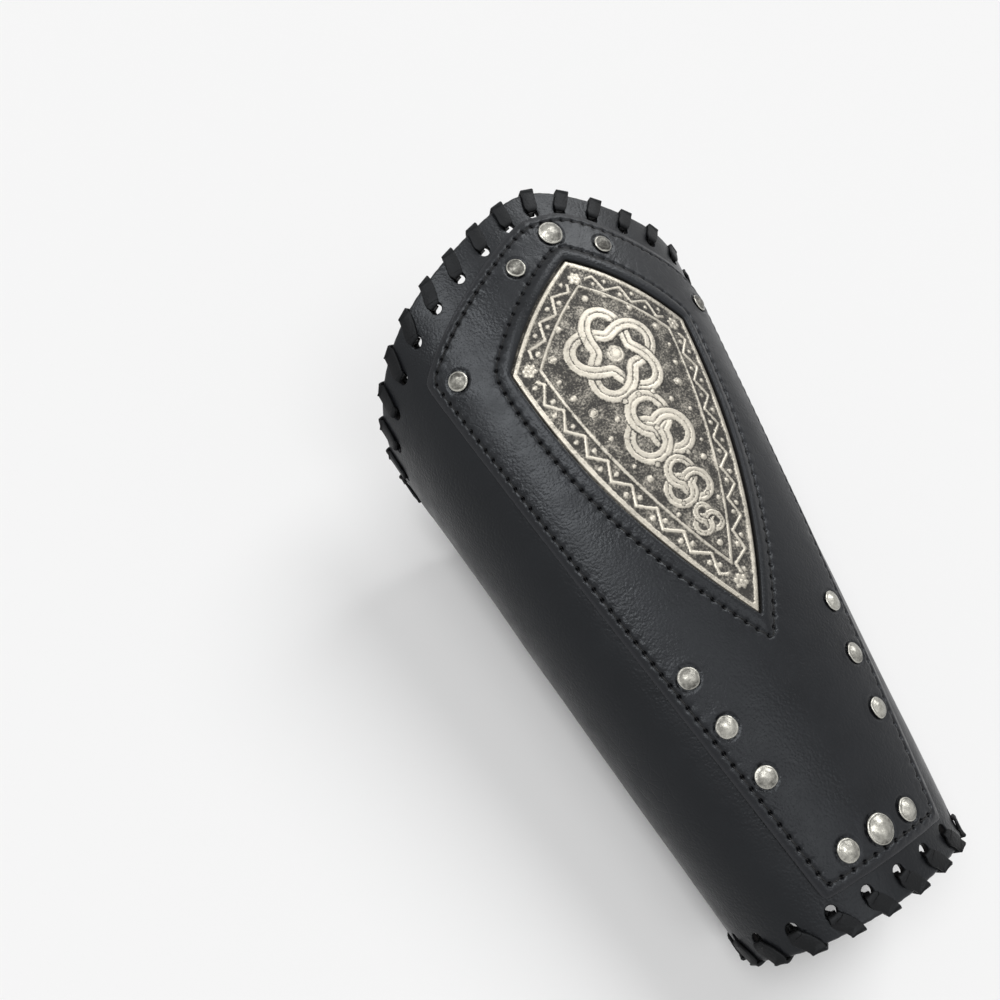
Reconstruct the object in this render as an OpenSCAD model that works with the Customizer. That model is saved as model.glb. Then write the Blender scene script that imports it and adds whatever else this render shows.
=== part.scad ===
// Leather forearm bracer: a tapered leather sleeve with a stitched-on front
// panel that frames a cast plate, laced round both ends, riveted through, and
// open along the back between two rows of eyelets.
//
// The frame: X runs across the arm, Y along it from the wrist to the elbow,
// and Z up through the front. The sleeve lies on its two back edges at Z = 0.
// The section keeps one shape and grows with Y, so every straight line from
// the wrist edge to the elbow edge keeps its place in the section. That place
// is u, the arc from the front line at the wrist's size. A flat place on the
// leather is [a, y]: the arc from the front line where it lies, and the
// distance from the wrist edge.

/* [Sleeve] */
// Length along the arm, from the wrist edge to the point of the elbow edge
sleeve_len = 265; // [235:1:300]
// Thickness of the sleeve's leather
leather_t = 2.5; // [1.8:0.1:3.5]
// Radius of the broad arc over the front, at the wrist
front_r = 70; // [62:1:90]
// Half length of that arc, at the wrist
front_half = 26.5; // [22:0.5:28]
// Radius of the corner on each side of it, at the wrist
corner_r = 27; // [24:0.5:30]
// Heading at which the corner ends and the back arc starts
corner_end = 84.5; // [78:0.5:92]
// Gap between the two back edges, at the wrist
back_gap = 18; // [10:1:26]
// Size of the section at the elbow point, as a multiple of the wrist's
flare = 1.89; // [1.6:0.01:2]
// How far the elbow edge falls from its point to the back edges
elbow_drop = 84; // [60:1:95]
// Rounding of the elbow point
elbow_round = 6; // [3:0.5:10]
// How far the wrist edge rises from the front to the back edges
wrist_rise = 7.5; // [0:0.5:12]

/* [Front panel] */
// Thickness of the panel's leather
panel_t = 2; // [1.4:0.1:2.6]
// Space between the elbow point and the panel's top
panel_top_gap = 11.4; // [8:0.1:16]
// Space between the wrist edge and the panel's foot
panel_foot_gap = 11.9; // [11:0.1:20]
// Width across the panel's shoulders, along the leather
panel_w = 133.2; // [124:0.2:138]
// Fall from the panel's top to its shoulders
panel_shoulder = 37.4; // [33:0.2:42]
// Width of the panel's foot
panel_foot_w = 51.4; // [48:0.2:60]
// Width of the flat stretch at the panel's top
panel_crown_w = 15; // [10:1:20]
// How far the panel's upper edges bow outwards
panel_bow = 1.4; // [0.5:0.1:3]
// Softness of the panel's corners
panel_corner = 1.2; // [0.6:0.1:2.5]
// Width of the bevelled edge outside the seam
panel_bevel = 3.3; // [2.6:0.1:4.4]
// Height of the soft ridge that holds the plate, above the panel
ridge_h = 1.1; // [0.6:0.1:1.6]
// Distance from the long sides of the plate's window to the seam round it
window_seam = 4.6; // [4.2:0.1:5.4]
// How many times wider the ridge is above the plate
brow_share = 1.25; // [1:0.05:1.5]

/* [Plate] */
// Length of the plate in its window
plate_len = 140; // [128:0.5:145]
// Width of the plate in its window
plate_w = 76; // [70:0.5:80]
// Fall from the plate's top to its widest place
plate_shoulder = 32; // [27:0.5:35]
// Space between the panel's top and the plate's top
plate_top_gap = 20.6; // [18:0.1:24]
// How far the plate's long sides bow outwards
plate_bow = 6.8; // [3:0.1:7.4]
// How far the plate's two upper sides bow outwards
plate_brow_bow = 2.2; // [0.4:0.1:2.8]
// Thickness of the plate at its sunk ground
plate_t = 1.3; // [1:0.1:1.6]
// Height of the raised lines and the knot above the ground
relief_h = 0.45; // [0.3:0.05:0.6]
// Width of the raised rim
rim_w = 1.8; // [1:0.1:2.4]
// Distance from the plate's edge to the inner frame line
frame_inset = 9.4; // [8:0.2:11]
// Width of the inner frame line
frame_w = 1.1; // [0.8:0.1:1.6]
// Width of the flange that the panel covers
flange_w = 2.4; // [1.6:0.1:3]
// Thickness of that flange
flange_t = 0.8; // [0.5:0.1:1]

/* [Rivets] */
// Diameter of a small cap
small_cap_d = 7.3; // [6.5:0.1:8.5]
// Height of a small cap
small_cap_h = 1.7; // [1.2:0.1:2.2]
// Diameter of a large cap
large_cap_d = 9.5; // [8.6:0.1:10.5]
// Height of a large cap
large_cap_h = 2.2; // [1.7:0.1:2.8]
// Diameter of the back cap inside the sleeve
back_cap_d = 6.2; // [5:0.1:7]
// Height of the back cap
back_cap_h = 1; // [0.8:0.1:1.4]
// Diameter of the post under a cap
post_d = 2.3; // [1.8:0.1:2.6]
// Outer diameter of the back cap's tube, which takes the post
tube_d = 3.1; // [2.9:0.1:3.4]
// Distance of the side rivets from the panel's edge
side_inset = 8.7; // [8.4:0.1:11]
// Distance of the lowest side rivets from the wrist edge
side_start = 49.8; // [42:0.2:60]
// Spacing of the side rivets
side_pitch = 18.2; // [12:0.2:20]
// Distance of the wrist rivets from the wrist edge
cuff_y = 20.5; // [19.5:0.1:27]
// Distance of the cuff rivets from the front line
cuff_a = 12.8; // [11:0.1:15.5]
// Distance of the brow rivets from the front line
brow_a = 18.9; // [17:0.1:24]
// Fall of the brow rivets from the panel's top
brow_fall = 17.3; // [15:0.1:20]
// Distance of the shoulder rivets from the front line
shoulder_a = 55.4; // [52:0.2:58]
// Fall of the shoulder rivets from the panel's top
shoulder_fall = 44; // [40:0.2:48]
// Fall of the elbow rivet from the panel's top
elbow_fall = 8.6; // [8:0.1:10]

/* [Edge lacing] */
// Width of the flat lace
lace_w = 5.2; // [4.4:0.1:5.6]
// Thickness of the flat lace
lace_t = 1; // [0.7:0.1:1.2]
// Diameter of a lace hole
lace_hole_d = 4.2; // [4:0.1:4.6]
// Spacing of the lace holes along the elbow edge
elbow_pitch = 14.7; // [12:0.1:17]
// Spacing of the lace holes along the wrist edge
wrist_pitch = 12.9; // [11:0.1:16]
// Distance from the elbow edge to its lace holes
elbow_inset = 8.8; // [8:0.1:10]
// Distance from the wrist edge to its lace holes
wrist_inset = 7; // [6.6:0.1:8.2]
// How far a turn of the lace leans before it goes over the elbow edge
elbow_lean = 3.2; // [1:0.1:6]
// How far a turn of the lace leans before it goes over the wrist edge
wrist_lean = 5.4; // [1:0.1:6]
// Distance of the elbow's middle lace hole from the front line
elbow_shift = -1.4; // [-4:0.1:4]
// Distance of the wrist's middle lace hole from the front line
wrist_shift = 0.2; // [-4:0.1:4]
// Space kept free of lacing beside each back edge
lace_end = 15; // [13:0.5:22]

/* [Closure] */
// Number of eyelets along each back edge
eyelet_count = 5; // [3:1:6]
// Bore of an eyelet
eyelet_bore_d = 5; // [4:0.1:5.4]
// Outer diameter of an eyelet's barrel
eyelet_barrel_d = 5.8; // [5.6:0.1:6.4]
// Outer diameter of an eyelet's flange and washer
eyelet_flange_d = 9.5; // [8.4:0.1:10.5]
// Thickness of an eyelet's flange
eyelet_flange_t = 0.9; // [0.6:0.1:1.2]
// Thickness of a washer
washer_t = 0.5; // [0.3:0.1:0.8]
// Distance from a back edge to its eyelets
eyelet_inset = 9.5; // [8.5:0.1:11]
// Space between the end eyelets and the ends of a back edge
eyelet_end = 16; // [12:1:22]

/* [Fits] */
// Space left between two layers of leather, or leather and plate
layer_gap = 0.15; // [0.12:0.01:0.25]
// Space round the plate in its window
window_gap = 0.2; // [0.1:0.05:0.35]
// Space between a metal piece and the leather under it
seat_gap = 0.05; // [0.02:0.01:0.1]
// Space round a rivet's tube or an eyelet's barrel in the leather
hole_gap = 0.15; // [0.1:0.01:0.2]
// Space between a post and its tube, or a barrel and its washer
pin_gap = 0.05; // [0.03:0.01:0.08]
// Space between the lace and the leather that it lies on
lace_gap = 0.15; // [0.12:0.01:0.25]

/* [Hidden] */
black = [0.09, 0.09, 0.10];
black_panel = [0.13, 0.13, 0.15];
black_lace = [0.04, 0.04, 0.05];
silver = [0.62, 0.59, 0.53];
nickel = [0.70, 0.69, 0.65];

// The section at the wrist: front arc, corner arc, back arc, for u from 0
deg = 180 / PI;
front_end = front_half / front_r * deg;
corner_start_x = front_r * sin(front_end);
corner_start_drop = front_r * (1 - cos(front_end));
back_start_x = corner_start_x + corner_r * (sin(corner_end) - sin(front_end));
back_start_drop = corner_start_drop + corner_r * (cos(front_end) - cos(corner_end));
back_r = (back_start_x - back_gap / 2) / sin(corner_end);
back_start_u = front_half + corner_r * (corner_end - front_end) / deg;
half_round = back_start_u + back_r * (180 - corner_end) / deg;
section_h = back_start_drop + back_r * (cos(corner_end) + 1);

function heading_of(v) = v < front_half ? v / front_r * deg
  : v < back_start_u ? front_end + (v - front_half) / corner_r * deg
  : corner_end + (v - back_start_u) / back_r * deg;
function x_of(v) = let (h = heading_of(v)) v < front_half ? front_r * sin(h)
  : v < back_start_u ? corner_start_x + corner_r * (sin(h) - sin(front_end))
  : back_start_x + back_r * (sin(h) - sin(corner_end));
function drop_of(v) = let (h = heading_of(v)) v < front_half ? front_r * (1 - cos(h))
  : v < back_start_u ? corner_start_drop + corner_r * (cos(front_end) - cos(h))
  : back_start_drop + back_r * (cos(corner_end) - cos(h));

// The sleeve's outer surface, and places n above it along its normal
growth = (flare - 1) / sleeve_len;
function size_at(y) = 1 + growth * y;
function turn(u) = sign(u) * heading_of(abs(u));
function section_at(u) = [sign(u) * x_of(abs(u)), section_h - drop_of(abs(u))];
function tilt(u) = growth * (section_at(u) * [sin(turn(u)), cos(turn(u))]);
function unit(v) = v / norm(v);
function normal_at(u) = unit([sin(turn(u)), -tilt(u), cos(turn(u))]);
function place(u, y, n = 0) = let (c = section_at(u) * size_at(y))
  [c[0], y - sleeve_len / 2, c[1]] + n * normal_at(u);
function flat_place(a, y, n = 0) = place(a / size_at(y), y, n);
function bend_r(u, y) = size_at(y)
  * (abs(u) < front_half ? front_r : abs(u) < back_start_u ? corner_r : back_r);
function sag(r, bend) = bend - sqrt(bend * bend - r * r);

module on_sleeve(u, y, n = 0)
  translate(place(u, y, n)) rotate([0, turn(u), 0]) rotate([atan(tilt(u)), 0, 0]) children();
module on_flat(a, y, n = 0) on_sleeve(a / size_at(y), y, n) children();

// The two ends of the leather
elbow_slope = elbow_drop / (norm([half_round, elbow_round]) - elbow_round);
function elbow_y(u) = sleeve_len - elbow_slope * (norm([u, elbow_round]) - elbow_round);
function wrist_y(u) = wrist_rise * (1 - cos(180 * u / half_round)) / 2;
function edge_y(elbow, u) = elbow ? elbow_y(u) : wrist_y(u);

// Distances along an edge, from the front line, against the place u
edge_steps = 60;
function edge_point(elbow, u) = place(u, edge_y(elbow, u));
function step_u(i) = half_round * i / edge_steps;
function walk(elbow, i = 0, far = 0) = i > edge_steps ? []
  : let (gone = i == 0 ? 0
      : far + norm(edge_point(elbow, step_u(i)) - edge_point(elbow, step_u(i - 1))))
    concat([[gone, step_u(i)]], walk(elbow, i + 1, gone));
elbow_walk = walk(true);
wrist_walk = walk(false);
function edge_u(elbow, e) = sign(e) * lookup(abs(e), elbow ? elbow_walk : wrist_walk);
function edge_half(elbow) = (elbow ? elbow_walk : wrist_walk)[edge_steps][0];

// A place e along an edge, d in from it and n above the leather
nudge = 0.05;
function along_edge(elbow, u) =
  unit(edge_point(elbow, u + nudge) - edge_point(elbow, u - nudge));
function inward(elbow, u) = let (t = along_edge(elbow, u), n = normal_at(u))
  elbow ? cross(t, n) : cross(n, t);
function inset_uy(elbow, e, d) = let (
    u = edge_u(elbow, e), y = edge_y(elbow, u), in = inward(elbow, u), c = section_at(u),
    rest = in - in[1] * [growth * c[0], 1, growth * c[1]],
    round_step = rest * [cos(turn(u)), 0, -sin(turn(u))] / size_at(y))
  [u + d * round_step, y + d * in[1]];
function edge_place(elbow, e, d, n) = let (q = inset_uy(elbow, e, d)) place(q[0], q[1], n);

// Outlines on the flat leather, each side an arc seen from one shared centre
panel_top_y = sleeve_len - panel_top_gap;
plate_top_y = panel_top_y - plate_top_gap;
plate_tip_y = plate_top_y - plate_len;
plate_wide_y = plate_top_y - plate_shoulder;
centre_y = plate_wide_y - plate_w / 2;
// A side is the centre of its arc, the radius, and its share of the distances
// measured out from it
function side(p, q, bow, share = 1) = let (chord = norm(q - p), r = (chord * chord / 4 + bow * bow) / (2 * bow),
    out = [p[1] - q[1], q[0] - p[0]] / chord)
  [(p + q) / 2 - out * (r - bow), r, share];
function mirrored(sides) = concat(sides, [for (s = sides) [[-s[0][0], s[0][1]], s[1], s[2]]]);
straight = 0.02;
crown = [panel_crown_w / 2, panel_top_y];
shoulder = [panel_w / 2, panel_top_y - panel_shoulder];
foot = [panel_foot_w / 2, panel_foot_gap];
panel_sides = mirrored([
  side([-panel_w, panel_top_y], [panel_w, panel_top_y], straight),
  side(crown, shoulder, panel_bow),
  side(shoulder, foot, straight),
  side([panel_w, panel_foot_gap], [-panel_w, panel_foot_gap], straight)]);
plate_wide = [plate_w / 2, plate_wide_y];
plate_sides = mirrored([
  side([0, plate_top_y], plate_wide, plate_brow_bow, brow_share),
  side(plate_wide, [0, plate_tip_y], plate_bow)]);

function ray(s, a, d) = let (w = [0, centre_y] - s[0], b = -w * [cos(a), sin(a)], r = s[1] + d * (d > 0 ? s[2] : 1))
  b + sqrt(b * b - w * w + r * r);
function total(v) = v * [for (x = v) 1];
function reach(sides, a, d, soft) = let (far = [for (s = sides) ray(s, a, d)], near = min(far))
  near - soft * ln(total([for (f = far) exp((near - f) / soft)]) / 2);
plate_corner = 0.5;
function window(a, d) = reach(plate_sides, a, d, plate_corner + max(0, d) / 4);
function panel_edge(a, d) = reach(panel_sides, a, -d, panel_corner);
function polar(a, r) = [r * cos(a), centre_y + r * sin(a)];

// Directions of the outline's stations, closer together at the corners
function toward(p) = atan2(p[1] - centre_y, p[0]);
key_angles = [90, toward(crown), toward(plate_wide), toward(shoulder), toward(foot), -90];
key_steps = [2, 8, 3, 22, 6];
right_angles = [for (i = [0:4]) for (j = [0:key_steps[i] - 1])
  key_angles[i] + (key_angles[i + 1] - key_angles[i]) * j / key_steps[i]];
angles = concat(right_angles, [-90],
  [for (i = [len(right_angles) - 1:-1:1]) 180 - right_angles[i]]);

// Heights of the layers above the sleeve's leather
panel_low = layer_gap;
panel_high = panel_low + panel_t;
flange_high = layer_gap + flange_t;
ridge_low = flange_high + layer_gap;
ridge_high = panel_high + ridge_h;
ground_high = layer_gap + plate_t;
relief_high = ground_high + relief_h;

// Faces of a closed surface through rings of like points
function quad(a, b, c, d) = [[a, b, c], [a, c, d]];
function ring_faces(rings, points, closed_ring) = [
  for (i = [0:rings - 2], j = [0:points - (closed_ring ? 1 : 2)])
    let (k = (j + 1) % points, p = i * points, q = p + points)
      each quad(p + j, p + k, q + k, q + j)];
function closing_faces(rings, points) = [
  for (j = [0:points - 1]) let (k = (j + 1) % points, p = (rings - 1) * points)
    each quad(p + j, p + k, k, j)];
function end_faces(rings, points) = [
  [for (j = [points - 1:-1:0]) j], [for (j = [0:points - 1]) (rings - 1) * points + j]];
function flat_list(rings) = [for (r = rings) each r];

// Rows of holes in the leather
function lace_pitch(elbow) = elbow ? elbow_pitch : wrist_pitch;
function lace_shift(elbow) = elbow ? elbow_shift : wrist_shift;
function lace_inset(elbow) = elbow ? elbow_inset : wrist_inset;
function lace_count(elbow, way) =
  floor((edge_half(elbow) - lace_end - way * lace_shift(elbow)) / lace_pitch(elbow));
function lace_marks(elbow) = [for (i = [-lace_count(elbow, -1):lace_count(elbow, 1)])
  lace_shift(elbow) + i * lace_pitch(elbow)];

side_y = [for (i = [0:2]) side_start + i * side_pitch];
function panel_half(y) = foot[0] + (shoulder[0] - foot[0]) * (y - foot[1]) / (shoulder[1] - foot[1]);
side_names = ["lower", "middle", "upper"];
hands = [["left", -1], ["right", 1]];
// Each rivet: name, place on the flat leather, and whether its cap is large
rivets = concat(
  [["elbow", 0, panel_top_y - elbow_fall, true], ["wrist", 0, cuff_y, true]],
  [for (h = hands) each concat([
    [str("brow_", h[0]), h[1] * brow_a, panel_top_y - brow_fall, false],
    [str("shoulder_", h[0]), h[1] * shoulder_a, panel_top_y - shoulder_fall, false],
    [str("cuff_", h[0]), h[1] * cuff_a, cuff_y, false]],
    [for (i = [0:2]) [str("side_", side_names[i], "_", h[0]),
      h[1] * (panel_half(side_y[i]) - side_inset), side_y[i], false]])]);

back_low = wrist_y(half_round) + eyelet_end;
back_high = elbow_y(half_round) - eyelet_end;
function back_y(f) = back_low + (back_high - back_low) * f;
// Each eyelet: name, place u and distance from the wrist edge
eyelets = [for (h = hands, i = [0:eyelet_count - 1])
  let (y = back_y(i / (eyelet_count - 1)))
    [str(i + 1, "_", h[0]), h[1] * (half_round - eyelet_inset / size_at(y)), y]];

$fn = 48;
through = 30;

// Stations round the sleeve, closer together over the front
front_steps = 9;
side_steps = 30;
right_u = concat([for (i = [0:front_steps - 1]) front_half * i / front_steps],
  [for (i = [0:side_steps]) front_half + (half_round - front_half) * i / side_steps]);
stations = concat([for (i = [len(right_u) - 1:-1:1]) -right_u[i]], right_u);

module rivet_holes() for (r = rivets)
  on_flat(r[1], r[2]) cylinder(d = tube_d + 2 * hole_gap, h = through, center = true);

// The sleeve: one piece of leather bent round the arm and pierced for the
// lace, the rivets and the eyelets
module leather_sleeve() color(black) {
  rings = [for (u = stations) [
    place(u, wrist_y(u)), place(u, elbow_y(u)),
    place(u, elbow_y(u), -leather_t), place(u, wrist_y(u), -leather_t)]];
  count = len(stations);
  difference() {
    polyhedron(flat_list(rings), concat(ring_faces(count, 4, true), end_faces(count, 4)));
    for (elbow = [true, false], e = lace_marks(elbow)) {
      q = inset_uy(elbow, e, lace_inset(elbow));
      on_sleeve(q[0], q[1]) cylinder(d = lace_hole_d, h = through, center = true);
    }
    rivet_holes();
    for (e = eyelets)
      on_sleeve(e[1], e[2]) cylinder(d = eyelet_barrel_d + 2 * hole_gap, h = through, center = true);
  }
}

// Distance of a panel ring from the centre. Its family is 0 out from the
// window, 1 in from the panel's edge, or 2 a share of the way between the two
seam_out = window_seam + 1.2;
edge_in = panel_bevel + 1.2;
function panel_ring(r, a) = r[0] == 0 ? window(a, r[1]) : r[0] == 1 ? panel_edge(a, r[1])
  : window(a, seam_out) + (panel_edge(a, edge_in) - window(a, seam_out)) * r[1];

// The front panel: a second piece of leather, sewn on by its edge and again
// round the plate, where it rises in a soft ridge over the plate's flange
module front_panel() color(black_panel) {
  ridge_w = window_seam - 0.8;
  groove = 0.2;
  flange_out = flange_w + 2 * window_gap;
  // Rings as [family, distance, height]
  rings = [
    [0, window_gap, ridge_low], [0, window_gap, ridge_low + panel_t * 0.55],
    [0, window_gap + 0.5, ridge_high - 0.25], [0, ridge_w * 0.42, ridge_high],
    [0, ridge_w * 0.75, ridge_high - ridge_h * 0.45], [0, window_seam, panel_high - groove],
    [0, seam_out, panel_high], [2, 0.33, panel_high], [2, 0.67, panel_high],
    [1, edge_in, panel_high], [1, panel_bevel, panel_high - groove],
    [1, panel_bevel * 0.7, panel_high - 0.1], [1, panel_bevel * 0.25, panel_low + panel_t * 0.55],
    [1, 0, panel_low + panel_t * 0.2], [1, 0, panel_low],
    [2, 0.67, panel_low], [2, 0.33, panel_low],
    [0, window_seam, panel_low], [0, flange_out, ridge_low]];
  points = [for (a = angles) [for (r = rings)
    let (q = polar(a, panel_ring(r, a))) flat_place(q[0], q[1], r[2])]];
  count = len(angles);
  difference() {
    polyhedron(flat_list(points),
      concat(ring_faces(count, len(rings), true), closing_faces(count, len(rings))));
    rivet_holes();
  }
}

// The plate: a thin casting bent to the front, with a flange under the panel,
// a raised rim and a raised inner frame line round a sunk ground
module emblem_plate() color(silver) {
  slope = 0.15;
  frame_out = frame_inset - frame_w / 2;
  frame_in = frame_inset + frame_w / 2;
  // Rings as [distance out from the window, height], and two nearer the
  // centre that keep a share of the ring beside them
  near = -frame_in * 1.6;
  rings = [
    [near, layer_gap, 0.3], [near, layer_gap, 0.65], [near, layer_gap], [near / 2, layer_gap],
    [0, layer_gap], [flange_w, layer_gap], [flange_w, flange_high], [0, flange_high],
    [-slope, relief_high], [-rim_w, relief_high], [-rim_w - slope, ground_high],
    [-frame_out + slope, ground_high], [-frame_out, relief_high], [-frame_in, relief_high],
    [-frame_in - slope, ground_high], [near, ground_high], [near, ground_high, 0.65],
    [near, ground_high, 0.3]];
  points = [for (r = rings) [for (a = angles) let (share = len(r) == 3 ? r[2] : 1,
      q = polar(a, window(a, r[0]) * share)) flat_place(q[0], q[1], r[1])]];
  count = len(angles);
  last = (len(rings) - 1) * count;
  low_centre = len(rings) * count;
  polyhedron(
    concat(flat_list(points),
      [flat_place(0, centre_y, layer_gap), flat_place(0, centre_y, ground_high)]),
    concat(ring_faces(len(rings), count, true),
      [for (j = [0:count - 1]) [low_centre, (j + 1) % count, j]],
      [for (j = [0:count - 1]) [low_centre + 1, last + j, last + (j + 1) % count]]));
}

function moved(rows, e) = [for (r = rows) [e + r[0], r[1], r[2], r[3]]];

// One flat lace per edge: up through a hole, leaning out over the edge and
// back inside to the next hole, with its two tails inside
module edge_lace(elbow) color(black_lace) {
  inset = lace_inset(elbow);
  pitch = lace_pitch(elbow);
  lean = elbow ? elbow_lean : wrist_lean;
  high = lace_gap + lace_t / 2;
  low = -leather_t - high;
  seat = inset - lace_hole_d / 2 + lace_t / 2 + 0.8;
  in_hole = lace_w * 0.6;
  marks = lace_marks(elbow);
  // One turn as [along the edge, in from the edge, height, width]
  lap = [
    [0, seat, 0.1, in_hole], [0, seat - 0.1, high, lace_w * 0.8],
    [lean * 0.2, inset * 0.75, high, lace_w], [lean * 0.55, inset * 0.4, high, lace_w],
    [lean * 0.9, high, high, lace_w], [lean, -high, high, lace_w],
    [lean * 1.1, -high, low, lace_w], [lean * 1.2, high, low, lace_w]];
  over = [
    [(lean + pitch) / 2, inset * 0.4, low, lace_w],
    [pitch - lean * 0.2, inset * 0.75, low, lace_w],
    [pitch, seat - 0.1, low, lace_w * 0.8], [pitch, seat, -leather_t, in_hole]];
  tail_in = [[-pitch * 0.8, inset * 0.55, low, lace_w], [-lean * 0.2, inset * 0.75, low, lace_w],
    [0, seat - 0.1, low, lace_w * 0.8], [0, seat, -leather_t, in_hole]];
  tail_out = [[pitch * 0.8, inset * 0.6, low, lace_w]];
  route = concat(moved(tail_in, marks[0]),
    [for (i = [0:len(marks) - 1]) each
      concat(moved(lap, marks[i]), i < len(marks) - 1 ? moved(over, marks[i]) : [])],
    moved(tail_out, marks[len(marks) - 1]));
  places = [for (r = route) edge_place(elbow, r[0], r[1], r[2])];
  last = len(route) - 1;
  rings = [for (i = [0:last]) let (
      p = unit(places[min(i + 1, last)] - places[max(i - 1, 0)]),
      t = along_edge(elbow, edge_u(elbow, route[i][0])),
      w = unit(t - (t * p) * p) * route[i][3] / 2,
      b = cross(p, unit(w)) * lace_t / 2)
    [places[i] + w + b, places[i] + w - b, places[i] - w - b, places[i] - w + b]];
  polyhedron(flat_list(rings), concat(ring_faces(last + 1, 4, true), end_faces(last + 1, 4)));
}
module elbow_lace() edge_lace(true);
module wrist_lace() edge_lace(false);

// Profile of a domed cap from its foot up, as [radius, height]
function dome(r, h, lip) = let (rise = h - lip, bend = (r * r + rise * rise) / (2 * rise))
  [for (i = [0:8]) let (x = r * (1 - i / 8)) [x, lip + rise - bend + sqrt(bend * bend - x * x)]];

// A rivet's cap with its post, seated on the panel
module rivet_cap(row) color(nickel) on_flat(row[1], row[2], panel_high + seat_gap) {
  r = (row[3] ? large_cap_d : small_cap_d) / 2;
  h = row[3] ? large_cap_h : small_cap_h;
  step = row[3] ? 0.5 : 0.15;
  post_end = panel_high + leather_t + back_cap_h * 0.4;
  rotate_extrude() polygon(concat(
    [[0, -post_end], [post_d / 2 - 0.2, -post_end], [post_d / 2, -post_end + 0.2], [post_d / 2, 0],
      [r - 0.2, 0], [r, 0.15], [r, step * 0.6], [r - 0.12, step]],
    dome(r - (row[3] ? 0.5 : 0.15), h, row[3] ? step + 0.45 : step)));
}

// A rivet's back cap inside the sleeve, whose tube takes the post
module rivet_back(row) color(nickel) {
  u = row[1] / size_at(row[2]);
  r = back_cap_d / 2;
  low = leather_t + sag(r, bend_r(u, row[2]) - leather_t) + 2 * seat_gap;
  tube_top = panel_high - seat_gap;
  bore = post_d / 2 + pin_gap;
  bore_end = leather_t + back_cap_h * 0.4 + 2 * seat_gap;
  on_flat(row[1], row[2]) rotate_extrude() polygon(concat(
    [[0, -bore_end], [bore, -bore_end], [bore, tube_top], [tube_d / 2, tube_top], [tube_d / 2, -low],
      [r - 0.15, -low]],
    [for (p = dome(r, back_cap_h, 0.25)) [p[0], -low - p[1]]]));
}

// An eyelet: a flange outside, a barrel through the leather, and a lip rolled
// over the washer inside
function washer_low(u, y) = let (r = eyelet_flange_d / 2)
  leather_t + sag(r, bend_r(u, y) - leather_t) + 2 * seat_gap + washer_t;
module eyelet(row) color(nickel) {
  bore = eyelet_bore_d / 2;
  barrel = eyelet_barrel_d / 2;
  r = eyelet_flange_d / 2;
  t = eyelet_flange_t;
  low = washer_low(row[1], row[2]) + seat_gap;
  lip_r = barrel + 0.9;
  lip = 0.45;
  on_sleeve(row[1], row[2], seat_gap) rotate_extrude() polygon([
    [bore, t * 0.45], [bore + 0.1, t * 0.75], [bore + 0.45, t], [bore + 1, t], [r - 0.5, t * 0.55],
    [r, t * 0.2], [r, 0], [barrel, 0], [barrel, -low - seat_gap], [lip_r, -low - seat_gap],
    [lip_r, -low - lip * 0.6], [lip_r - 0.3, -low - lip], [bore + 0.4, -low - lip],
    [bore, -low - lip * 0.4]]);
}
module eyelet_washer(row) color(nickel) {
  inner = eyelet_barrel_d / 2 + pin_gap;
  low = washer_low(row[1], row[2]);
  on_sleeve(row[1], row[2], -low) difference() {
    cylinder(d = eyelet_flange_d, h = washer_t);
    translate([0, 0, -through / 2]) cylinder(r = inner, h = through);
  }
}

leather_sleeve();
front_panel();
emblem_plate();
elbow_lace();
wrist_lace();
for (r = rivets) {
  rivet_cap(r);
  rivet_back(r);
}
for (e = eyelets) {
  eyelet(e);
  eyelet_washer(e);
}
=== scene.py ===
"""Looks of a leather forearm bracer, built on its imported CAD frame."""

import math

import bpy
import numpy as np
from mathutils import Matrix, Vector, geometry, kdtree, noise


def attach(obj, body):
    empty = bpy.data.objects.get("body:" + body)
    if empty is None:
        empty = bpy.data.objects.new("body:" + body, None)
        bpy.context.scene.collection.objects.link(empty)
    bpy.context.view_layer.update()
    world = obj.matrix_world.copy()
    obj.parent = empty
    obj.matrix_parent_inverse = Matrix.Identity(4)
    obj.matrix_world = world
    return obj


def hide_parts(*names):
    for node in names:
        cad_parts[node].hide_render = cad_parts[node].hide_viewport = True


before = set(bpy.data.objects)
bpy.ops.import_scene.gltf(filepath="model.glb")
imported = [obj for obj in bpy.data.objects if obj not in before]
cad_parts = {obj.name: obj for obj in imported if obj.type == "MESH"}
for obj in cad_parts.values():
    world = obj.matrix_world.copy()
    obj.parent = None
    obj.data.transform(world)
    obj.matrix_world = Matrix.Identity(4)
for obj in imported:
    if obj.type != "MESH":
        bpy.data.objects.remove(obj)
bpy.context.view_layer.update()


# Camera
# It looks down on the front from the wrist's left, as close as the photo was
# taken, with the bracer's elbow end at the upper left of the frame.
camera_data = bpy.data.cameras.new("camera")
camera_data.sensor_width = 36
camera_data.lens = 0.78867 * camera_data.sensor_width
camera_data.clip_start = 0.01
camera = bpy.data.objects.new("camera", camera_data)
bpy.context.scene.collection.objects.link(camera)
right = Vector((0.86999, -0.47269, 0.14031))
down = Vector((-0.34337, -0.78502, -0.51560))
ahead = Vector((0.35387, 0.40038, -0.84527))
camera.matrix_world = Matrix.Translation((-0.15428, -0.07459, 0.31441)) @ Matrix(
    (right, -down, -ahead)).transposed().to_4x4()
bpy.context.scene.camera = camera


# Sleeve
# One cut of black vegetable-tanned leather, bent round the arm and left open
# along the back. Its ends are punched for the lace, its back edges for the
# eyelets, and it is pierced for every rivet. Sizes are in millimetres.
sleeve_len = 265.0
leather_t = 2.5
front_r = 70.0
front_half = 26.5
corner_r = 27.0
corner_end = math.radians(84.5)
back_gap = 18.0
flare = 1.89
elbow_drop = 84.0
elbow_round = 6.0
wrist_rise = 7.5

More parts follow.
